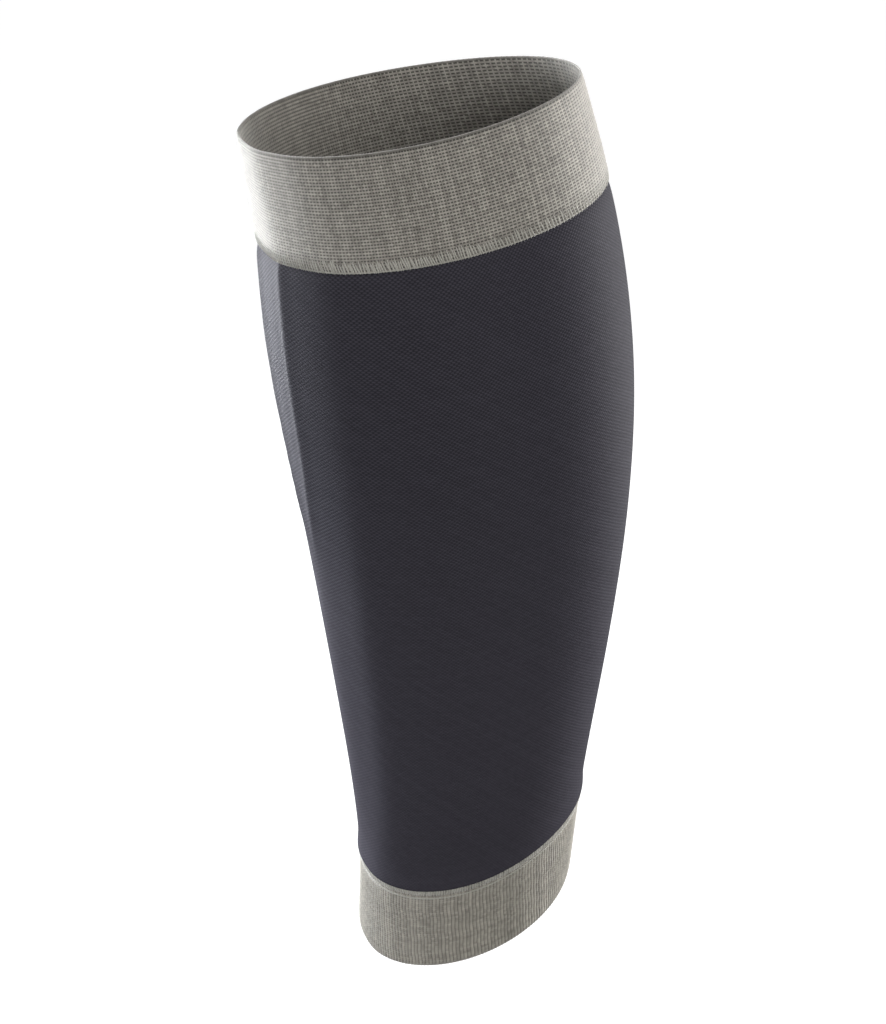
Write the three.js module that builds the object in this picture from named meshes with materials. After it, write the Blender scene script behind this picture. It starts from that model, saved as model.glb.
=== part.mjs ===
// Calf compression sleeve, in the form it has on a leg.
// Millimetres, +Z up the leg towards the knee, -Y the shin, +Y the calf.
// The origin is on the leg's axis at the middle of the ankle opening.
import * as THREE from 'three';
import { LoftGeometry } from 'three/addons/geometries/LoftGeometry.js';

// Overall form of the leg that the knit lies on
const sleeveLength = 300;    // middle of the hem to middle of the rim
const legDepth = 114;        // shin to calf at the thickest place
const legWidth = 111;        // side to side at the thickest place
const calfBow = 11;          // how far the middle of the leg sets back behind a straight axis
const shinFlat = 25;         // width of the flat face of the shin below the knee
const shinCrispness = 100;   // the higher, the tighter the corners of the shin

// Slant of the two open edges in degrees, the back higher than the front
const hemSlant = 14;
const rimSlant = 6;

// The knitted pieces
const kneeCuffHeight = 33.5;
const ankleCuffHeight = 32;
const kneeCuffWall = 1.3;
const ankleCuffWall = 1.3;
const tubeWall = 1.1;

// The linked seams: the knee cuff laps over the tube, the tube laps over the ankle cuff
const seamGap = 0.3;
const kneeLap = 3.2;
const ankleLap = 3.2;
const neckRun = 1.2;         // height over which a lapped end necks in
const rollFade = 4;          // height over which the roll above the ankle seam dies out
const rollProud = 0.9;

// Facets
const facetsRound = 60;
const tubeRows = 16;
const cuffRows = 4;

// Sections of the leg from the hem up. height is a share of sleeveLength, depth of legDepth,
// width of legWidth, back of calfBow, flat of shinFlat. turn is the angle in degrees at which
// the faces beside the shin fall back, and egg how much broader the shin's half is.
const columns = ['height', 'depth', 'width', 'back', 'flat', 'turn', 'egg'];
const sections = [
  [0.00, 0.71, 0.655, 0.00, 0.00, 0, 0.00],
  [0.10, 0.73, 0.645, 0.40, 0.00, 4, 0.08],
  [0.20, 0.77, 0.725, 0.59, 0.00, 12, 0.02],
  [0.35, 0.865, 0.83, 0.84, 0.00, 15, 0.00],
  [0.50, 0.95, 0.92, 0.98, 0.00, 15, 0.00],
  [0.65, 1.00, 0.99, 0.93, 0.75, 21, 0.02],
  [0.78, 1.00, 1.00, 0.70, 1.00, 23, 0.04],
  [0.90, 0.945, 0.95, 0.43, 1.00, 23, 0.06],
  [1.00, 0.91, 0.87, 0.00, 0.80, 20, 0.12],
];

const column = (name) => columns.indexOf(name);
const heights = sections.map((row) => row[column('height')]);
const sectionCurve = new THREE.CubicInterpolant(heights, sections.flat(), columns.length);

// The leg's section at a share of the height
function legSection(share) {
  const row = sectionCurve.evaluate(THREE.MathUtils.clamp(share, 0, 1));
  return {
    depth: row[column('depth')] * legDepth,
    width: row[column('width')] * legWidth,
    back: row[column('back')] * calfBow,
    flat: Math.max(0, row[column('flat')]) * shinFlat,
    turn: THREE.MathUtils.degToRad(row[column('turn')]),
    egg: row[column('egg')],
  };
}

// Distance from the section's middle to the leg's skin, angle 0 at the shin. An oval, the flat
// of the shin and the two faces beside it each set a limit, and the tightest one counts.
function skinRadius(section, angle) {
  const halfDepth = section.depth / 2;
  const halfFlat = section.flat / 2;
  const forward = Math.cos(angle);
  const sideways = Math.sin(angle);
  const halfWidth = (section.width / 2) * (1 + section.egg * forward);
  const noseStretch = forward > 0 ? 1 / Math.sqrt(1 - (halfFlat / halfWidth) ** 2) : 1;
  const faceDistance = halfFlat * Math.sin(section.turn) + halfDepth * Math.cos(section.turn);
  const limits = [
    Math.hypot(sideways / halfWidth, forward / (halfDepth * noseStretch)),
    Math.max(0, forward / halfDepth),
    Math.max(0, Math.cos(Math.abs(angle) - section.turn) / faceDistance),
  ];
  const tightest = Math.max(...limits);
  const rounded = limits.reduce((sum, limit) => sum + (limit / tightest) ** shinCrispness, 0);
  return 1 / (tightest * rounded ** (1 / shinCrispness));
}

// The place on the leg's skin at a height and an angle, moved outwards by an offset
function skinPoint(height, offset, angle) {
  const share = height / sleeveLength;
  const section = legSection(share);
  const skinAt = (a) => {
    const radius = skinRadius(section, a);
    return new THREE.Vector2(radius * Math.sin(a), section.back - radius * Math.cos(a));
  };
  const halfStep = Math.PI / facetsRound;
  const along = skinAt(angle + halfStep).sub(skinAt(angle - halfStep)).normalize();
  const place = skinAt(angle).addScaledVector(new THREE.Vector2(along.y, -along.x), offset);
  const slant = THREE.MathUtils.degToRad(THREE.MathUtils.lerp(hemSlant, rimSlant, share));
  return new THREE.Vector3(place.x, place.y, height + Math.tan(slant) * place.y);
}

// One level ring round the leg, counterclockwise seen from the knee
function ring(height, offset) {
  return Array.from({ length: facetsRound }, (_, i) =>
    skinPoint(height, offset, (i / facetsRound) * 2 * Math.PI));
}

// A knitted tube: its wall's outline, as [height, offset] pairs up the outside and down the
// inside, is carried round the leg
function knitTube(name, outline, material) {
  const rings = outline.map(([height, offset]) => ring(height, offset));
  const mesh = new THREE.Mesh(new LoftGeometry([...rings, rings[0]], { closed: true }), material);
  mesh.name = name;
  return mesh;
}

// Evenly spaced heights from one level to another, both ends included
function levels(from, to, count) {
  return Array.from({ length: count + 1 }, (_, i) => THREE.MathUtils.lerp(from, to, i / count));
}

// The outline of a wall: the outside from the bottom up, then the inside from the top down.
// Each [height, offset] pair gives the wall's inner face, and rounding draws its ends in.
function wallOutline(inner, wall) {
  const edge = wall / 4;
  const bottom = inner[0][0];
  const top = inner[inner.length - 1][0];
  const outside = inner.map(([height, offset]) => [height, offset + wall]);
  outside[0] = [bottom + edge, outside[0][1]];
  outside[outside.length - 1] = [top - edge, outside[outside.length - 1][1]];
  const inside = inner.map(([height, offset]) => [height, offset]);
  inside[0] = [bottom + edge, inside[0][1]];
  inside[inside.length - 1] = [top - edge, inside[inside.length - 1][1]];
  const rimEnd = [top, inner[inner.length - 1][1] + wall / 2];
  const hemEnd = [bottom, inner[0][1] + wall / 2];
  return [...outside, rimEnd, ...inside.reverse(), hemEnd];
}

// Where the seams lie
const kneeSeam = sleeveLength - kneeCuffHeight;
const ankleSeam = ankleCuffHeight;
const kneeCuffInner = 0;
const tubeNeck = kneeCuffInner - seamGap - tubeWall;
const tubeSkirt = rollProud;
const ankleNeck = tubeSkirt - seamGap - ankleCuffWall;

const taupeKnit = new THREE.MeshStandardMaterial({ color: 0x8c8880, roughness: 0.9, metalness: 0 });
const navyKnit = new THREE.MeshStandardMaterial({ color: 0x2f2e34, roughness: 0.85, metalness: 0 });

function kneeCuff() {
  const inner = levels(kneeSeam, sleeveLength, cuffRows).map((height) => [height, kneeCuffInner]);
  return knitTube('knee_cuff', wallOutline(inner, kneeCuffWall), taupeKnit);
}

function calfTube() {
  const rollTop = ankleSeam + ankleLap + rollFade;
  const neckStart = kneeSeam - seamGap;
  const inner = [
    [ankleSeam, tubeSkirt],
    [ankleSeam + ankleLap, tubeSkirt],
    ...levels(rollTop, neckStart - neckRun, tubeRows).map((height) => [height, 0]),
    [neckStart, tubeNeck],
    [kneeSeam + kneeLap, tubeNeck],
  ];
  return knitTube('calf_tube', wallOutline(inner, tubeWall), navyKnit);
}

function ankleCuff() {
  const neckStart = ankleSeam - seamGap;
  const inner = [
    ...levels(0, neckStart - neckRun, cuffRows - 1).map((height) => [height, 0]),
    [neckStart, ankleNeck],
    [ankleSeam + ankleLap, ankleNeck],
  ];
  return knitTube('ankle_cuff', wallOutline(inner, ankleCuffWall), taupeKnit);
}

const sleeve = new THREE.Group();
sleeve.add(kneeCuff(), calfTube(), ankleCuff());

export default sleeve;
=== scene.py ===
# Calf compression sleeve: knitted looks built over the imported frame.
# Metres, +Z up the leg towards the knee, -Y the shin, +Y the calf.
import math
import random

import bmesh
import bpy
import numpy as np
from mathutils import Matrix, Vector
from mathutils.bvhtree import BVHTree


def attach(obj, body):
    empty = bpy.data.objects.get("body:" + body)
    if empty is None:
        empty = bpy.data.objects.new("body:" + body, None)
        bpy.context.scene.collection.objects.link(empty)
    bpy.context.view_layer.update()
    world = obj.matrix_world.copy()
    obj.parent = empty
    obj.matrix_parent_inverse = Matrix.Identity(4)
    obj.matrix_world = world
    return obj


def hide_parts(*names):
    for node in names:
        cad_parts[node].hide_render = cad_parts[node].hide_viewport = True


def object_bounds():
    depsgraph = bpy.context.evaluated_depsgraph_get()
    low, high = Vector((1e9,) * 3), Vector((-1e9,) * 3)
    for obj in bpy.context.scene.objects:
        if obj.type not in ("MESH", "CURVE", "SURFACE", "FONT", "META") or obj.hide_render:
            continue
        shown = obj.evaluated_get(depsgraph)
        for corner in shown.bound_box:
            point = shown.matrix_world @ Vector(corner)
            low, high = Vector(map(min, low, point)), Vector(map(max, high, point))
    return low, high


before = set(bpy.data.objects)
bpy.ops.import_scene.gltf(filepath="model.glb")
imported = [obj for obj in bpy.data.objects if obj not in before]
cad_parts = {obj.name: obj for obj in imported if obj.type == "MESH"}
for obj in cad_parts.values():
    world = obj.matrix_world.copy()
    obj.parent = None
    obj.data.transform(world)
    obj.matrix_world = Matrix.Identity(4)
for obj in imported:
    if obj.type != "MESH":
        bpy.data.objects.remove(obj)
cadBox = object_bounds()

# The form that every piece follows
sleeve = {
    "length": 0.300,       # middle of the hem to middle of the rim
    "hemSlant": 14.0,      # degrees, the back higher than the front
    "rimSlant": 6.0,
    "kneeSeam": 0.2665,    # height of the knee cuff's lower edge
    "ankleSeam": 0.0320,   # height of the tube's lower edge
    "edge": 0.0004,        # how far a face ends short of its wall's end
    "crest": 0.0004,       # how far a wall's rounded end stands past its last rings
    "weld": 1e-7,          # corners nearer than this are one
}

# How the frame's nodes are rounded and measured
guide = {
    "weld": 1e-6,
    "faceAngle": 40,       # degrees, for two triangles to be one face
    "shapeAngle": 60,
    "rounds": 2,
    "setBack": 0.006,      # how far behind the axis the rays start
    "rays": 720,
    "reach": 0.15,
}


def objectFrom(bm, name):
    mesh = bpy.data.meshes.new(name)
    bm.to_mesh(mesh)
    bm.free()
    made = bpy.data.objects.new(name, mesh)
    bpy.context.collection.objects.link(made)
    return made


def smoothGuide(name):
    # The node, merged and rounded between its facets, for rays to land on
    bm = bmesh.new()
    bm.from_mesh(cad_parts[name].data)
    bmesh.ops.remove_doubles(bm, verts=bm.verts, dist=guide["weld"])
    bmesh.ops.join_triangles(
        bm,
        faces=bm.faces,
        angle_face_threshold=math.radians(guide["faceAngle"]),
        angle_shape_threshold=math.radians(guide["shapeAngle"]),
    )
    form = objectFrom(bm, "guide")
    rounding = form.modifiers.new("rounding", "SUBSURF")
    rounding.levels = guide["rounds"]
    rounding.render_levels = guide["rounds"]
    bpy.context.view_layer.update()
    tree = BVHTree.FromObject(form, bpy.context.evaluated_depsgraph_get())
    mesh = form.data
    bpy.data.objects.remove(form)
    bpy.data.meshes.remove(mesh)
    return tree


def levelSlope(height):
    share = height / sleeve["length"]
    slant = sleeve["hemSlant"] + (sleeve["rimSlant"] - sleeve["hemSlant"]) * share
    return math.tan(math.radians(slant))


def levelRing(form, height, count, outside=True, turn=0.0, stretch=(0.0, 0.0)):
    # Places round one slanting level of a face, from the back, counterclockwise from above. They are
    # turned on by a share of the way round. The first stretch sets them wider apart over shin and
    # calf than at the sides, the second over the calf than over the shin.
    slope = levelSlope(height)
    middle = Vector((0, guide["setBack"], height + slope * guide["setBack"]))
    places = []
    for i in range(guide["rays"]):
        angle = math.pi + 2 * math.pi * i / guide["rays"]
        outward = Vector((math.sin(angle), -math.cos(angle), -slope * math.cos(angle))).normalized()
        if outside:
            place = form.ray_cast(middle + outward * guide["reach"], -outward)[0]
        else:
            place = form.ray_cast(middle, outward)[0]
        places.append(place)
    points = np.array([*places, places[0]], float)
    along = np.concatenate(([0.0], np.cumsum(np.linalg.norm(np.diff(points, axis=0), axis=1))))
    share = (np.arange(count) / count + turn) % 1.0
    share = share + stretch[0] * np.sin(share * 4 * math.pi) + stretch[1] * np.sin(share * 2 * math.pi)
    wanted = share * along[-1]
    return np.column_stack([np.interp(wanted, along, points[:, k]) for k in range(3)])


def outwards(ring):
    # Level unit vectors that point out of the leg at each place of a ring
    along = np.roll(ring, -1, axis=0) - np.roll(ring, 1, axis=0)
    normal = np.column_stack([along[:, 1], -along[:, 0], np.zeros(len(ring))])
    return normal / np.linalg.norm(normal, axis=1)[:, None]


def spread(start, end, count):
    return [start + (end - start) * i / (count - 1) for i in range(count)]


forms = {name: smoothGuide(name) for name in ("knee_cuff", "calf_tube", "ankle_cuff")}
print("guides made")


def rolledSheet(name, rings, courses):
    # A flat grid with its map, rolled up so that each of its rows lies on a ring. The map counts
    # wales round the leg and courses over the wall, both from 0 to 1.
    columns = len(rings[0])
    rows = len(rings) - 1
    bm = bmesh.new()
    knit = bm.loops.layers.uv.new("knit")
    bmesh.ops.create_grid(bm, x_segments=columns, y_segments=rows, size=0.5, calc_uvs=True)
    for face in bm.faces:
        face.smooth = True
        for loop in face.loops:
            column = loop.vert.co.x + 0.5
            row = round((loop.vert.co.y + 0.5) * rows)
            loop[knit].uv = (column, courses[row] / courses[-1])
    for vert in bm.verts:
        column = round((vert.co.x + 0.5) * columns)
        row = round((vert.co.y + 0.5) * rows)
        vert.co = Vector(rings[row][column % columns])
    bmesh.ops.remove_doubles(bm, verts=bm.verts, dist=sleeve["weld"])
    piece = objectFrom(bm, name)
    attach(piece, "root")
    return piece


def crest(outer, inner, lift):
    # The rounded end of a wall, halfway between its two faces and a little past them
    middle = (outer + inner) / 2
    middle[:, 2] += lift
    return middle


def closedWall(outside, inside):
    # A wall's rings: up the outside, over the end, down the inside and under
    rim = crest(outside[-1], inside[0], sleeve["crest"])
    hem = crest(outside[0], inside[-1], -sleeve["crest"])
    return [*outside, rim, *inside, hem, outside[0]]


def wallSheet(name, outside, inside, pitch):
    # A knitted wall whose courses are counted by the way over it
    rings = closedWall(outside, inside)
    steps = [0.0] + [float(np.linalg.norm(b - a, axis=1).mean()) for a, b in zip(rings, rings[1:])]
    courses = np.cumsum(steps) / pitch
    return rolledSheet(name, rings, courses), float(courses[-1])


kneeCuff = {
    "wales": 250,
    "courses": 36,
    "insideCourses": 28,
    "relief": 0.00013,     # how far the strands stand out
    "courseStrand": 0.6,   # heights over the face, as shares of the relief
    "waleStrand": 0.1,
    "hole": -1.0,
    "spiral": 0.004,       # how far the wales lean over the cuff's height, as a share of the way round
    "stretch": (0.03, 0.045),  # how unevenly the stitches are spread round the leg
    "flat": (0.28, 0.033),
}


def kneeCuffKnit():
    columns = kneeCuff["wales"] * 2
    low = sleeve["kneeSeam"] + sleeve["edge"]
    high = sleeve["length"] - sleeve["edge"]

    def ringAt(height, outside):
        turn = kneeCuff["spiral"] * (height - low) / (high - low)
        return levelRing(forms["knee_cuff"], height, columns, outside, turn, kneeCuff["stretch"])

    # Every second ring runs through the holes, and there every second column is a hole
    holes = np.where(np.arange(columns) % 2, kneeCuff["hole"], kneeCuff["waleStrand"])[:, None]
    outside = []
    for k, height in enumerate(spread(low, high, kneeCuff["courses"] * 2 + 1)):
        ring = ringAt(height, True)
        depth = holes if k % 2 else kneeCuff["courseStrand"]
        outside.append(ring + outwards(ring) * kneeCuff["relief"] * depth)
    inside = [ringAt(height, False) for height in spread(high, low, kneeCuff["insideCourses"] + 1)]
    up = [k / 2 for k in range(len(outside))]
    down = [up[-1] + 1 + k for k in range(len(inside))]
    courses = [*up, up[-1] + 0.5, *down, down[-1] + 0.5, down[-1] + 1]
    piece = rolledSheet("kneeCuffKnit", closedWall(outside, inside), courses)
    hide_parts("knee_cuff")
    return piece, courses[-1]


calfTube = {
    "wales": 196,
    "coursePitch": 0.00062,
    "columns": 392,
    "outerRows": 150,
    "innerRows": 50,
    "hemStep": 0.0006,     # from the lower edge to the next ring
    "neck": 0.0017,        # height of the step under the knee cuff
    "neckStep": 0.0003,    # how far its rings stay off its two ends
    "neckRows": 5,
    "lapStep": 0.0012,     # from the seam to the first ring behind the knee cuff
    "lap": 0.0028,
    "press": 0.0004,       # how far the lapped end presses out against the knee cuff
    "hemRise": 0.0014,     # how far the linking holds the lower edge above the seam
    "stretch": (0.02, 0.0),
    "flat": (0.26, 0.235),
}

shinCrease = {
    "heights": (0.165, 0.180, 0.195, 0.210, 0.240),
    "angles": (3.0, 6.8, 10.0, 11.8, 12.9),  # degrees from the shin's middle round to the crease
    "window": 30,          # degrees on either side that its place is looked for in
    "depth": 0.0007,       # how far the crease stands out of the rounded guide
    "reach": 0.007,
    "fade": (0.158, 0.180),  # the heights between which it dies out
}


def creased(ring, height):
    # The ring with the crease on each side of the shin, which the guide rounds off, made crisp again
    wanted = np.interp(height, shinCrease["heights"], shinCrease["angles"])
    strength = shinCrease["depth"] * np.interp(height, shinCrease["fade"], (0.0, 1.0))
    angles = np.degrees(np.arctan2(ring[:, 0], guide["setBack"] - ring[:, 1]))
    steps = np.linalg.norm(np.diff(ring, axis=0, append=ring[:1]), axis=1)
    along = np.concatenate(([0.0], np.cumsum(steps)[:-1]))
    lift = np.zeros(len(ring))
    for side in (-1, 1):
        near = np.abs(angles - side * wanted) < shinCrease["window"]
        order = np.argsort(angles[near])
        crease = np.interp(side * wanted, angles[near][order], along[near][order])
        away = np.abs(along - crease) / shinCrease["reach"]
        lift += strength * np.clip(1 - away, 0, 1) ** 2
    return ring + outwards(ring) * lift[:, None]


def calfTubeKnit():
    seam = sleeve["kneeSeam"]
    low = sleeve["ankleSeam"] + sleeve["edge"] + calfTube["hemRise"]
    neck = seam - calfTube["neck"]
    top = seam + calfTube["lap"]
    step = calfTube["neckStep"]
    heights = [
        low,
        *spread(low + calfTube["hemStep"], neck, calfTube["outerRows"]),
        *spread(neck + step, seam - step, calfTube["neckRows"]),
        seam + calfTube["lapStep"],
        top,
    ]

    def ringAt(height, outside):
        stretch = calfTube["stretch"]
        return levelRing(forms["calf_tube"], height, calfTube["columns"], outside, stretch=stretch)

    outside = []
    for height in heights:
        ring = ringAt(height, True)
        if height > seam:
            outside.append(ring + outwards(ring) * calfTube["press"])
        else:
            outside.append(creased(ring, height))
    inside = [ringAt(height, False) for height in spread(top, low, calfTube["innerRows"])]
    piece, courses = wallSheet("calfTubeKnit", outside, inside, calfTube["coursePitch"])
    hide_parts("calf_tube")
    return piece, courses


ankleCuff = {
    "ribs": 188,
    "columnsPerRib": 6,
    "coursePitch": 0.00095,
    "outerRows": 26,
    "innerRows": 18,
    "neck": 0.0017,        # height of the step under the tube
    "neckStep": 0.0003,    # from the neck's foot to its first ring
    "neckRun": 0.0013,     # and to its last
    "neckRows": 4,
    "lapStep": 0.001,      # from the seam to the first ring behind the tube
    "lap": 0.0028,
    "ribHeight": 0.00026,
    "ribSunk": 0.75,       # share of a rib's height that lies below the face
    "ribFade": 0.0025,     # height over which the ribs fade towards the tube
    "ribKept": 0.25,       # share of them that is left at the neck
    "insideRibs": 0.6,     # the inside's ribs, as a share of the outside's
    "insideSunk": 0.25,
    "ribWave": 0.0005,     # how far the ribs swing to the side, as a share of the way round
    "waveTurn": 700,       # radians of the swing to a metre of height
    "spiral": -0.012,      # how far the ribs lean over the cuff's height, as a share of the way round
    "flat": (0.205, 0.034),
}


def ankleCuffRib():
    columns = ankleCuff["ribs"] * ankleCuff["columnsPerRib"]
    low = sleeve["edge"]
    neck = sleeve["ankleSeam"] - ankleCuff["neck"]
    top = sleeve["ankleSeam"] + ankleCuff["lap"]
    phase = np.arange(columns) / ankleCuff["columnsPerRib"] * 2 * math.pi
    rib = (0.5 + 0.5 * np.cos(phase))[:, None]
    heights = [
        *spread(low, neck, ankleCuff["outerRows"]),
        *spread(neck + ankleCuff["neckStep"], neck + ankleCuff["neckRun"], ankleCuff["neckRows"]),
        sleeve["ankleSeam"] + ankleCuff["lapStep"],
        top,
    ]

    def ringAt(height, outside):
        wave = ankleCuff["ribWave"] * math.sin(height * ankleCuff["waveTurn"])
        turn = ankleCuff["spiral"] * height / top + wave
        return levelRing(forms["ankle_cuff"], height, columns, outside, turn)

    outside = []
    for height in heights:
        ring = ringAt(height, True)
        fade = min(1.0, max(0.0, (neck - height) / ankleCuff["ribFade"] + ankleCuff["ribKept"]))
        relief = ankleCuff["ribHeight"] * (rib - ankleCuff["ribSunk"]) * fade
        outside.append(ring + outwards(ring) * relief)
    inside = []
    for height in spread(top, low, ankleCuff["innerRows"]):
        ring = ringAt(height, False)
        relief = ankleCuff["ribHeight"] * ankleCuff["insideRibs"] * (ankleCuff["insideSunk"] - rib)
        inside.append(ring - outwards(ring) * relief)
    piece, courses = wallSheet("ankleCuffRib", outside, inside, ankleCuff["coursePitch"])
    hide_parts("ankle_cuff")
    return piece, courses


# How much the linking loops differ from each other
loopChance = {
    "lean": (-7, 7),       # degrees added
    "tall": (0.75, 1.05),
    "wide": (0.8, 1.3),
    "shift": (-0.5, 0.5),  # shares of the row's stagger
    "segments": 6,
    "rise": 0.001,         # how much higher a place is looked for, to tell a loop's way up
}


def loopRow(name, form, loop):
    # A row of yarn loops laid against a face: one loop, copied to each place, no two quite alike
    chance = random.Random(loop["seed"])
    count = loop["count"]
    bm = bmesh.new()
    places = levelRing(form, loop["height"], count, stretch=loop["stretch"])
    higher = levelRing(form, loop["height"] + loopChance["rise"], count, stretch=loop["stretch"])
    outs = outwards(places)
    segments = loopChance["segments"]
    bmesh.ops.create_uvsphere(bm, u_segments=segments, v_segments=segments, radius=0.5)
    first = bm.verts[:]
    parts = [*first, *bm.faces]
    bmesh.ops.scale(bm, vec=(loop["width"], loop["thickness"], loop["tall"]), verts=first)
    for k in range(count):
        up = Vector(higher[k] - places[k]).normalized()
        out = Vector(outs[k])
        side = up.cross(out).normalized()
        out = side.cross(up)
        turn = Matrix((side, out, up)).transposed().to_4x4()
        angle = math.radians(loop["lean"] + chance.uniform(*loopChance["lean"]))
        lean = Matrix.Rotation(angle, 4, "Y")
        taller = chance.uniform(*loopChance["tall"])
        wider = chance.uniform(*loopChance["wide"])
        size = Matrix.Scale(wider, 4, (1, 0, 0)) @ Matrix.Scale(taller, 4, (0, 0, 1))
        copied = bmesh.ops.duplicate(bm, geom=parts)
        verts = [g for g in copied["geom"] if isinstance(g, bmesh.types.BMVert)]
        shift = up * (taller - 1) * loop["tall"] / 2
        shift += side * chance.uniform(*loopChance["shift"]) * loop["stagger"]
        place = Matrix.Translation(Vector(places[k]) + out * loop["proud"] + shift)
        bmesh.ops.transform(bm, matrix=place @ turn @ lean @ size, verts=verts)
    bmesh.ops.delete(bm, geom=first, context="VERTS")
    for face in bm.faces:
        face.smooth = True
    piece = objectFrom(bm, name)
    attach(piece, "root")
    return piece


def edgeYarn(name, form, yarn):
    # One yarn that runs round an edge, its thickness a little uneven
    ring = levelRing(form, yarn["height"], yarn["columns"])
    out = outwards(ring)
    ring = ring + out * yarn["proud"] + np.array([0, 0, yarn["rise"]])
    phase = np.arange(len(ring)) * 2 * math.pi * yarn["beads"] / len(ring)
    ply = 1 + yarn["ripple"] * np.sin(phase)[:, None]
    rings = []
    for k in range(yarn["facets"] + 1):
        angle = 2 * math.pi * k / yarn["facets"]
        up = np.array([0, 0, math.sin(angle)]) * yarn["tall"] / 2
        rings.append(ring + (out * math.cos(angle) * yarn["thickness"] / 2 + up) * ply)
    piece = rolledSheet(name, rings, list(range(len(rings))))
    return piece


kneeLinks = {
    "count": 300,
    "height": 0.2683,
    "width": 0.0005,
    "thickness": 0.0005,
    "tall": 0.0042,
    "lean": -11,           # degrees
    "proud": -0.00006,
    "stagger": 0.0004,     # how far a loop stands off its place
    "stretch": (0.03, 0.045),
    "seed": 7,
}
ankleLinks = {
    "count": 270,
    "height": 0.0327,
    "width": 0.0009,
    "thickness": 0.0007,
    "tall": 0.0030,
    "lean": 3,
    "proud": 0.00085,
    "stagger": 0.0001,
    "stretch": (0.0, 0.0),
    "seed": 11,
}
kneeEdge = {
    "height": 0.2669,
    "thickness": 0.00032,
    "tall": 0.00032,
    "ripple": 0.12,        # share by which the yarn swells and thins
    "proud": -0.00012,
    "rise": -0.0003,
    "columns": 1080,
    "beads": 360,          # swellings round the leg
    "facets": 8,
}
ankleEdge = {
    "height": 0.0299,
    "thickness": 0.0004,
    "tall": 0.0006,
    "ripple": 0.35,
    "proud": 0.00004,
    "rise": 0.0,
    "columns": 1080,
    "beads": 270,
    "facets": 8,
}

kneeCuffPiece, kneeCourses = kneeCuffKnit()
calfTubePiece, tubeCourses = calfTubeKnit()
ankleCuffPiece, ankleCourses = ankleCuffRib()
kneeLinkPiece = loopRow("kneeLinkLoops", forms["knee_cuff"], kneeLinks)
ankleLinkPiece = loopRow("ankleLinkLoops", forms["ankle_cuff"], ankleLinks)
kneeEdgePiece = edgeYarn("kneeEdgeYarn", forms["knee_cuff"], kneeEdge)
ankleEdgePiece = edgeYarn("ankleEdgeYarn", forms["ankle_cuff"], ankleEdge)
print("pieces made")

nodeSpacing = (200, -160)  # in the shader editor


def addNode(tree, kind, place, **values):
    node = tree.nodes.new(kind)
    node.location = (place[0] * nodeSpacing[0], place[1] * nodeSpacing[1])
    for key, value in values.items():
        setattr(node, key, value)
    return node


def mathNode(tree, operation, place, *inputs):
    # A Math node whose inputs are numbers or other nodes' outputs
    node = addNode(tree, "ShaderNodeMath", place, operation=operation)
    for k, value in enumerate(inputs):
        if isinstance(value, (int, float)):
            node.inputs[k].default_value = value
        else:
            tree.links.new(value, node.inputs[k])
    return node.outputs[0]


def newGroup(name, inputs, outputs):
    tree = bpy.data.node_groups.new(name, "ShaderNodeTree")
    for socket, kind, value in inputs:
        made = tree.interface.new_socket(name=socket, in_out="INPUT", socket_type=kind)
        if value is not None:
            made.default_value = value
    for socket, kind in outputs:
        tree.interface.new_socket(name=socket, in_out="OUTPUT", socket_type=kind)
    return tree, addNode(tree, "NodeGroupInput", (0, 0)), addNode(tree, "NodeGroupOutput", (12, 0))


stitchMix = {
    "blend": 0.25,         # how softly a course's strand passes into a wale's
    "rowStreak": 0.4,      # shares of a streak that come from the row and from the wale
    "waleStreak": 0.6,
}


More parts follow.
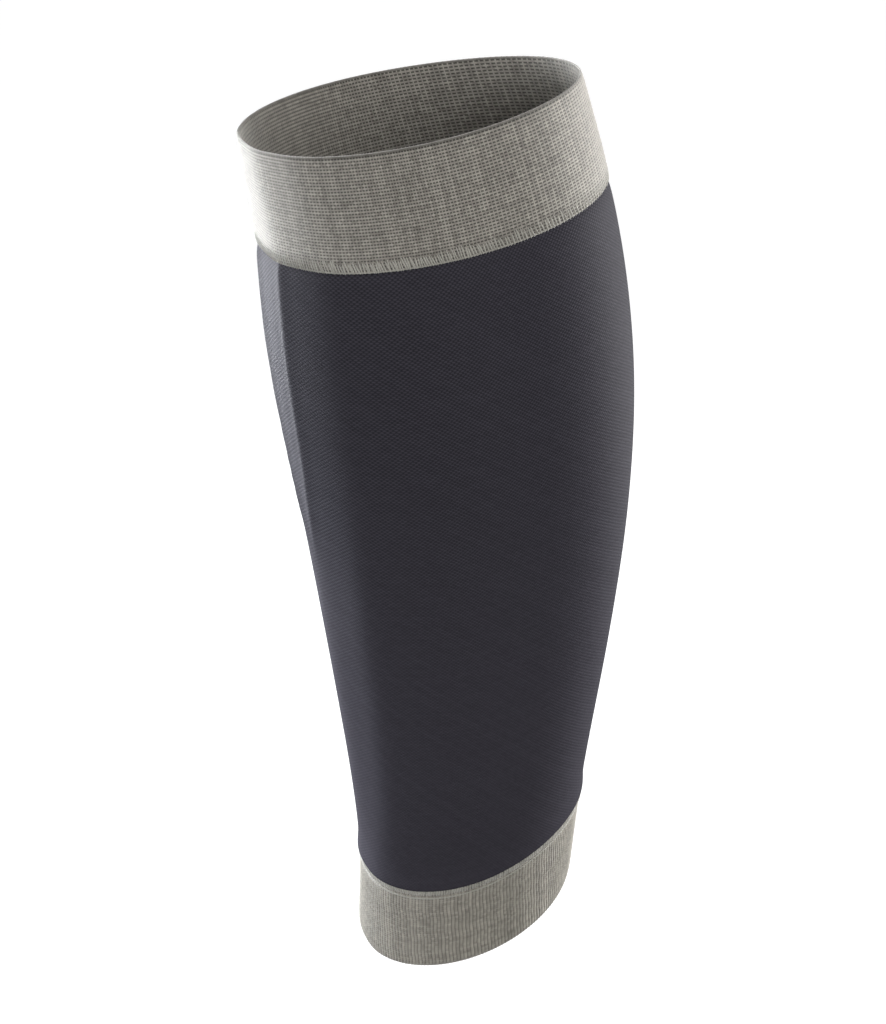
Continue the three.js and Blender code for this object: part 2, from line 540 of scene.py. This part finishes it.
def makeStitchGroup():
    # Raised strands that run round the leg and up it, with holes between them
    tree, given, made = newGroup(
        "knitStitch",
        [
            ("Map", "NodeSocketVector", None),
            ("Wales", "NodeSocketFloat", 300.0),
            ("Courses", "NodeSocketFloat", 100.0),
            ("Drop", "NodeSocketFloat", 0.0),
            ("Course Height", "NodeSocketFloat", 1.0),
            ("Course Sharpness", "NodeSocketFloat", 1.0),
            ("Wale Height", "NodeSocketFloat", 1.0),
            ("Wale Sharpness", "NodeSocketFloat", 1.0),
            ("Gap", "NodeSocketFloat", 0.0),
        ],
        [("Height", "NodeSocketFloat"), ("Stitch", "NodeSocketFloat"), ("Streak", "NodeSocketFloat")],
    )
    # The stitch that a place is in, each row dropped a share of a stitch behind the one before
    split = addNode(tree, "ShaderNodeSeparateXYZ", (1, 0))
    tree.links.new(given.outputs["Map"], split.inputs[0])
    course = mathNode(tree, "MULTIPLY", (2, 1), split.outputs["Y"], given.outputs["Courses"])
    wale = mathNode(tree, "MULTIPLY", (2, 0), split.outputs["X"], given.outputs["Wales"])
    row = mathNode(tree, "ROUND", (3, 2), course)
    shift = mathNode(tree, "MULTIPLY", (4, 2), row, given.outputs["Drop"])
    wale = mathNode(tree, "ADD", (5, 0), wale, shift)
    column = mathNode(tree, "ROUND", (6, 2), wale)
    # A strand along each course and each wale, the wales lower between two courses by the gap
    along = mathNode(tree, "COSINE", (6, 1), mathNode(tree, "MULTIPLY", (5, 1), course, 2 * math.pi))
    across = mathNode(tree, "COSINE", (6, 0), mathNode(tree, "MULTIPLY", (5, 3), wale, 2 * math.pi))
    along = mathNode(tree, "MULTIPLY_ADD", (7, 1), along, 0.5, 0.5)
    across = mathNode(tree, "MULTIPLY_ADD", (7, 0), across, 0.5, 0.5)
    between = mathNode(tree, "SUBTRACT", (7, 2), 1.0, along)
    kept = mathNode(tree, "MULTIPLY", (8, 2), between, given.outputs["Gap"])
    kept = mathNode(tree, "SUBTRACT", (9, 2), 1.0, kept)
    along = mathNode(tree, "POWER", (8, 1), along, given.outputs["Course Sharpness"])
    across = mathNode(tree, "POWER", (8, 0), across, given.outputs["Wale Sharpness"])
    along = mathNode(tree, "MULTIPLY", (9, 1), along, given.outputs["Course Height"])
    across = mathNode(tree, "MULTIPLY", (9, 0), across, given.outputs["Wale Height"])
    across = mathNode(tree, "MULTIPLY", (10, 1), across, kept)
    height = mathNode(tree, "SMOOTH_MAX", (11, 0), along, across, stitchMix["blend"])
    tree.links.new(height, made.inputs["Height"])
    # Chance values: one for each stitch, and streaks along the rows and up the wales
    cell = addNode(tree, "ShaderNodeCombineXYZ", (8, 3))
    tree.links.new(column, cell.inputs["X"])
    tree.links.new(row, cell.inputs["Y"])
    chance = addNode(tree, "ShaderNodeTexWhiteNoise", (9, 3), noise_dimensions="2D")
    tree.links.new(cell.outputs[0], chance.inputs["Vector"])
    tree.links.new(chance.outputs["Value"], made.inputs["Stitch"])
    rowChance = addNode(tree, "ShaderNodeTexWhiteNoise", (9, 4), noise_dimensions="1D")
    tree.links.new(row, rowChance.inputs["W"])
    waleChance = addNode(tree, "ShaderNodeTexWhiteNoise", (9, 5), noise_dimensions="1D")
    tree.links.new(column, waleChance.inputs["W"])
    rowPart = mathNode(tree, "MULTIPLY", (11, 4), rowChance.outputs["Value"], stitchMix["rowStreak"])
    walePart = mathNode(tree, "MULTIPLY", (11, 5), waleChance.outputs["Value"], stitchMix["waleStreak"])
    streak = mathNode(tree, "ADD", (12, 4), rowPart, walePart)
    tree.links.new(streak, made.inputs["Streak"])
    return tree


yarnNoise = {
    "fibreScale": 2600,
    "fibreDetail": 2,
    "patchScale": 90,
    "patchShare": 0.2,
}


def makeYarnGroup():
    # Colour of melange yarn: dark in the holes, paler on the strands, uneven from stitch to stitch
    tree, given, made = newGroup(
        "yarnTone",
        [
            ("Place", "NodeSocketVector", None),
            ("Height", "NodeSocketFloat", 1.0),
            ("Stitch", "NodeSocketFloat", 0.5),
            ("Streak", "NodeSocketFloat", 0.5),
            ("Strand", "NodeSocketColor", (0.5, 0.5, 0.5, 1)),
            ("Hole", "NodeSocketColor", (0.1, 0.1, 0.1, 1)),
            ("Hole Edge", "NodeSocketFloat", 0.3),
            ("Unevenness", "NodeSocketFloat", 0.2),
            ("Openness", "NodeSocketFloat", 1.0),
        ],
        [("Color", "NodeSocketColor"), ("Fibre", "NodeSocketFloat")],
    )
    fibre = addNode(tree, "ShaderNodeTexNoise", (1, 2))
    fibre.inputs["Scale"].default_value = yarnNoise["fibreScale"]
    fibre.inputs["Detail"].default_value = yarnNoise["fibreDetail"]
    tree.links.new(given.outputs["Place"], fibre.inputs["Vector"])
    patch = addNode(tree, "ShaderNodeTexNoise", (1, 3))
    patch.inputs["Scale"].default_value = yarnNoise["patchScale"]
    tree.links.new(given.outputs["Place"], patch.inputs["Vector"])
    stitch = mathNode(tree, "SUBTRACT", (2, 0), given.outputs["Stitch"], 0.5)
    streak = mathNode(tree, "SUBTRACT", (2, 1), given.outputs["Streak"], 0.5)
    fleck = mathNode(tree, "SUBTRACT", (2, 2), fibre.outputs["Fac"], 0.5)
    cloud = mathNode(tree, "SUBTRACT", (2, 3), patch.outputs["Fac"], 0.5)
    cloud = mathNode(tree, "MULTIPLY", (3, 3), cloud, yarnNoise["patchShare"])
    knitPart = mathNode(tree, "ADD", (4, 0), stitch, streak)
    yarnPart = mathNode(tree, "ADD", (4, 2), fleck, cloud)
    total = mathNode(tree, "ADD", (5, 1), knitPart, yarnPart)
    tone = mathNode(tree, "MULTIPLY_ADD", (6, 1), total, given.outputs["Unevenness"], 1.0)
    raised = addNode(tree, "ShaderNodeMapRange", (5, 4), interpolation_type="SMOOTHSTEP")
    tree.links.new(given.outputs["Height"], raised.inputs["Value"])
    tree.links.new(given.outputs["Hole Edge"], raised.inputs["From Max"])
    inHole = mathNode(tree, "SUBTRACT", (6, 4), 1.0, raised.outputs["Result"])
    inHole = mathNode(tree, "MULTIPLY", (6, 5), inHole, given.outputs["Openness"])
    onStrand = mathNode(tree, "SUBTRACT", (6, 6), 1.0, inHole)
    mixed = addNode(tree, "ShaderNodeMix", (7, 3), data_type="RGBA")
    tree.links.new(onStrand, mixed.inputs["Factor"])
    tree.links.new(given.outputs["Hole"], mixed.inputs["A"])
    tree.links.new(given.outputs["Strand"], mixed.inputs["B"])
    toned = addNode(tree, "ShaderNodeVectorMath", (9, 2), operation="SCALE")
    tree.links.new(mixed.outputs["Result"], toned.inputs[0])
    tree.links.new(tone, toned.inputs["Scale"])
    tree.links.new(toned.outputs[0], made.inputs["Color"])
    tree.links.new(fibre.outputs["Fac"], made.inputs["Fibre"])
    return tree


stitchGroup = makeStitchGroup()
yarnGroup = makeYarnGroup()

bandCore = 0.6             # share of a band's reach that gets the full painted shade


def paintedShadeBands(tree, bands, uv, courses, color):
    # Painted shade: darkens the colour along bands round the leg, where shade falls above and between the
    # loops and over the rim's lit crest
    split = addNode(tree, "ShaderNodeSeparateXYZ", (1, 6))
    tree.links.new(uv, split.inputs[0])
    course = mathNode(tree, "MULTIPLY", (2, 6), split.outputs["Y"], courses)
    for k, (middle, reach, shade) in enumerate(bands):
        apart = mathNode(tree, "SUBTRACT", (3, 6 + k), course, middle)
        away = mathNode(tree, "ABSOLUTE", (4, 6 + k), apart)
        fade = addNode(tree, "ShaderNodeMapRange", (5, 6 + k), interpolation_type="SMOOTHSTEP")
        fade.inputs["From Min"].default_value = reach * bandCore
        fade.inputs["From Max"].default_value = reach
        fade.inputs["To Min"].default_value = shade
        tree.links.new(away, fade.inputs["Value"])
        toned = addNode(tree, "ShaderNodeVectorMath", (6, 6 + k), operation="SCALE")
        tree.links.new(color, toned.inputs[0])
        tree.links.new(fade.outputs["Result"], toned.inputs["Scale"])
        color = toned.outputs[0]
    return color


def emptyMaterial(name):
    material = bpy.data.materials.new(name)
    material.use_nodes = True
    material.node_tree.nodes.clear()
    return material, material.node_tree


def finishMaterial(tree, look, color, relief):
    # The shader with its bump and the material's output
    bump = addNode(tree, "ShaderNodeBump", (7, 2))
    bump.inputs["Strength"].default_value = look["bump"]
    bump.inputs["Distance"].default_value = look["depth"]
    tree.links.new(relief, bump.inputs["Height"])
    shader = addNode(tree, "ShaderNodeBsdfPrincipled", (9, 0))
    for socket, value in look["shader"].items():
        shader.inputs[socket].default_value = value
    tree.links.new(color, shader.inputs["Base Color"])
    tree.links.new(bump.outputs["Normal"], shader.inputs["Normal"])
    output = addNode(tree, "ShaderNodeOutputMaterial", (11, 0))
    tree.links.new(shader.outputs["BSDF"], output.inputs["Surface"])


def knitMaterial(name, look, wales, courses):
    material, tree = emptyMaterial(name)
    uvMap = addNode(tree, "ShaderNodeUVMap", (0, 0), uv_map="knit")
    place = addNode(tree, "ShaderNodeTexCoord", (0, 2))
    stitch = addNode(tree, "ShaderNodeGroup", (1, 0), node_tree=stitchGroup)
    tree.links.new(uvMap.outputs["UV"], stitch.inputs["Map"])
    stitch.inputs["Wales"].default_value = wales
    stitch.inputs["Courses"].default_value = courses
    for socket, value in look["stitch"].items():
        stitch.inputs[socket].default_value = value
    yarn = addNode(tree, "ShaderNodeGroup", (3, 0), node_tree=yarnGroup)
    tree.links.new(place.outputs["Object"], yarn.inputs["Place"])
    for socket in ("Height", "Stitch", "Streak"):
        tree.links.new(stitch.outputs[socket], yarn.inputs[socket])
    for socket, value in look["yarn"].items():
        yarn.inputs[socket].default_value = value
    if "opening" in look:
        # The holes open up with the stretch, from the ankle to the calf
        height = addNode(tree, "ShaderNodeSeparateXYZ", (1, 3))
        tree.links.new(place.outputs["Object"], height.inputs[0])
        opening = addNode(tree, "ShaderNodeMapRange", (2, 3), interpolation_type="SMOOTHSTEP")
        for socket, value in look["opening"].items():
            opening.inputs[socket].default_value = value
        tree.links.new(height.outputs["Z"], opening.inputs["Value"])
        tree.links.new(opening.outputs["Result"], yarn.inputs["Openness"])
    color = yarn.outputs["Color"]
    # Painted shade along bands round the leg, above the links and at the rim
    if "bands" in look:
        color = paintedShadeBands(tree, look["bands"], uvMap.outputs["UV"], courses, color)
    fibre = yarn.outputs["Fibre"]
    relief = mathNode(tree, "MULTIPLY_ADD", (5, 2), fibre, look["fuzz"], stitch.outputs["Height"])
    finishMaterial(tree, look, color, relief)
    return material


def linkYarnMaterial(name, look):
    # Smooth thick yarn without holes, with its fibres' uneven tone
    material, tree = emptyMaterial(name)
    place = addNode(tree, "ShaderNodeTexCoord", (0, 2))
    yarn = addNode(tree, "ShaderNodeGroup", (3, 0), node_tree=yarnGroup)
    tree.links.new(place.outputs["Object"], yarn.inputs["Place"])
    for socket, value in look["yarn"].items():
        yarn.inputs[socket].default_value = value
    finishMaterial(tree, look, yarn.outputs["Color"], yarn.outputs["Fibre"])
    return material


cuffKnitLook = {
    "stitch": {
        "Course Height": 1.0,
        "Course Sharpness": 1.1,
        "Wale Height": 0.95,
        "Wale Sharpness": 3.6,
    },
    "yarn": {
        "Strand": (0.360, 0.339, 0.298, 1),
        "Hole": (0.07, 0.065, 0.057, 1),
        "Hole Edge": 0.85,
        "Unevenness": 0.4,
    },
    "bands": [
        # Middle and reach in courses, and the painted shade: above the links, and at the rim
        (1.0, 3.2, 0.75),
        (36.4, 1.2, 0.5),
    ],
    "fuzz": 0.25,
    "bump": 0.6,
    "depth": 0.0002,
    "shader": {
        "Roughness": 0.85,
        "Specular IOR Level": 0.2,
        "Sheen Weight": 0.9,
        "Sheen Tint": (1, 0.97, 0.92, 1),
    },
}
tubeKnitLook = {
    "stitch": {
        "Drop": 0.5,
        "Course Height": 0.0,
        "Wale Height": 1.0,
        "Wale Sharpness": 1.0,
        "Gap": 0.7,
    },
    "yarn": {
        "Strand": (0.058, 0.0545, 0.068, 1),
        "Hole": (0.028, 0.0265, 0.033, 1),
        "Hole Edge": 0.6,
        "Unevenness": 0.12,
    },
    "opening": {
        "From Min": 0.06,
        "From Max": 0.24,
        "To Min": 0.35,
        "To Max": 1.0,
    },
    "fuzz": 0.2,
    "bump": 0.5,
    "depth": 0.00014,
    "shader": {
        "Roughness": 0.7,
        "Specular IOR Level": 0.04,
        "Sheen Weight": 0.01,
        "Sheen Tint": (0.82, 0.84, 1, 1),
    },
}
ribKnitLook = {
    "stitch": {
        "Course Height": 0.45,
        "Wale Height": 1.0,
        "Wale Sharpness": 0.7,
        "Gap": 0.15,
    },
    "yarn": {
        "Strand": (0.385, 0.362, 0.312, 1),
        "Hole": (0.06, 0.056, 0.046, 1),
        "Hole Edge": 0.5,
        "Unevenness": 0.4,
    },
    "fuzz": 0.25,
    "bump": 0.5,
    "depth": 0.00015,
    "shader": {
        "Roughness": 0.85,
        "Specular IOR Level": 0.2,
        "Sheen Weight": 0.9,
        "Sheen Tint": (1, 0.97, 0.92, 1),
    },
}
linkYarnLook = {
    "yarn": {
        "Strand": (0.43, 0.415, 0.365, 1),
        "Hole": (0.43, 0.415, 0.365, 1),
        "Unevenness": 0.8,
    },
    "bump": 0.4,
    "depth": 0.0001,
    "shader": {
        "Roughness": 0.8,
        "Sheen Weight": 0.9,
    },
}

kneeCuffPiece.data.materials.append(knitMaterial("cuffKnit", cuffKnitLook, kneeCuff["wales"], kneeCourses))
calfTubePiece.data.materials.append(knitMaterial("tubeKnit", tubeKnitLook, calfTube["wales"], tubeCourses))
ankleCuffPiece.data.materials.append(knitMaterial("ribKnit", ribKnitLook, ankleCuff["ribs"], ankleCourses))
linkYarn = linkYarnMaterial("linkYarn", linkYarnLook)
for piece in (kneeLinkPiece, ankleLinkPiece, kneeEdgePiece, ankleEdgePiece):
    piece.data.materials.append(linkYarn)
print("materials made")


studio = {
    "floorDrop": 0.09,
    "floorSize": 12.0,
    "floorColor": (0.15, 0.15, 0.15, 1),
    "floorRoughness": 0.9,
    "floorGlow": 1.0,
    "worldGlow": 0.02,
    "aim": 0.15,           # the height that the lights point at
}

cool = (0.93, 0.96, 1)
white = (1, 1, 1)

# Azimuth and elevation in degrees, distance, width and height, watts, colour
lamps = {
    "leftBack": (-78, 6, 0.7, (0.25, 0.5), 8.5, cool),
    "left": (-56, 4, 0.8, (0.3, 0.6), 12.6, cool),
    "leftFront": (-24, 4, 0.9, (0.4, 0.6), 3.6, cool),
    "shin": (0, 6, 1.0, (0.5, 0.6), 2.2, white),
    "front": (101, 25, 1.1, (0.6, 0.6), 8, white),
    "right": (192, -1, 0.8, (0.3, 0.6), 10, white),
    "overBack": (250, 60, 1.0, (0.5, 0.5), 2.5, white),
    "below": (0, -89, 0.6, (2.0, 2.0), 2.5, white),
}


def makeFloor():
    bm = bmesh.new()
    bmesh.ops.create_grid(bm, x_segments=1, y_segments=1, size=studio["floorSize"] / 2)
    bmesh.ops.translate(bm, vec=(0, 0, cadBox[0].z - studio["floorDrop"]), verts=bm.verts)
    floor = objectFrom(bm, "floor")
    material = bpy.data.materials.new("floorWhite")
    material.use_nodes = True
    shader = material.node_tree.nodes["Principled BSDF"]
    shader.inputs["Base Color"].default_value = studio["floorColor"]
    shader.inputs["Roughness"].default_value = studio["floorRoughness"]
    shader.inputs["Emission Color"].default_value = (1, 1, 1, 1)
    shader.inputs["Emission Strength"].default_value = studio["floorGlow"]
    floor.data.materials.append(material)
    # The floor only shows: the lights alone shine on the sleeve
    floor.visible_diffuse = False
    floor.visible_glossy = False
    floor.visible_shadow = False


def softLight(name, azimuth, elevation, distance, size, power, color):
    # An area light aimed at the middle of the sleeve
    light = bpy.data.lights.new(name, "AREA")
    light.shape = "RECTANGLE"
    light.size = size[0]
    light.size_y = size[1]
    light.energy = power
    light.color = color
    lamp = bpy.data.objects.new(name, light)
    bpy.context.collection.objects.link(lamp)
    bearing = math.radians(azimuth)
    above = math.radians(elevation)
    away = Vector((
        math.sin(bearing) * math.cos(above),
        -math.cos(bearing) * math.cos(above),
        math.sin(above),
    ))
    lamp.location = Vector((0, 0, studio["aim"])) + away * distance
    lamp.rotation_euler = away.to_track_quat("Z", "Y").to_euler()


def makeWorld():
    world = bpy.data.worlds.new("studioWorld")
    world.use_nodes = True
    tree = world.node_tree
    background = tree.nodes["Background"]
    background.inputs["Color"].default_value = (1, 1, 1, 1)
    # As white as the floor where the camera sees it, dim where it lights the sleeve
    path = addNode(tree, "ShaderNodeLightPath", (-4, 0))
    glow = addNode(tree, "ShaderNodeMapRange", (-2, 0))
    glow.inputs["To Min"].default_value = studio["worldGlow"]
    glow.inputs["To Max"].default_value = studio["floorGlow"]
    tree.links.new(path.outputs["Is Camera Ray"], glow.inputs["Value"])
    tree.links.new(glow.outputs["Result"], background.inputs["Strength"])
    bpy.context.scene.world = world


viewpoint = {
    "azimuth": 71.67,
    "distance": 0.4883,    # from the leg's axis, level
    "height": 0.4006,
    "turn": -0.17,
    "pitch": 26.14,
    "roll": -3.72,
    "lens": 56.06,
    "sensor": 36,
    "near": 0.01,
    "far": 100,
}


def makeCamera():
    camera = bpy.data.cameras.new("camera")
    camera.lens = viewpoint["lens"]
    camera.sensor_width = viewpoint["sensor"]
    camera.clip_start = viewpoint["near"]
    camera.clip_end = viewpoint["far"]
    seen = bpy.data.objects.new("camera", camera)
    bpy.context.collection.objects.link(seen)
    azimuth = math.radians(viewpoint["azimuth"])
    place = Vector((math.sin(azimuth), -math.cos(azimuth), 0)) * viewpoint["distance"]
    place.z = viewpoint["height"]
    heading = Matrix.Rotation(azimuth + math.radians(viewpoint["turn"]), 4, "Z")
    tilt = Matrix.Rotation(math.radians(90 - viewpoint["pitch"]), 4, "X")
    roll = Matrix.Rotation(math.radians(viewpoint["roll"]), 4, "Z")
    seen.matrix_world = Matrix.Translation(place) @ heading @ tilt @ roll
    bpy.context.scene.camera = seen


makeFloor()
makeWorld()
for name, values in lamps.items():
    softLight(name, *values)
makeCamera()
bpy.context.scene.view_settings.view_transform = "Standard"
print("studio made", bpy.context.scene.view_settings.view_transform)
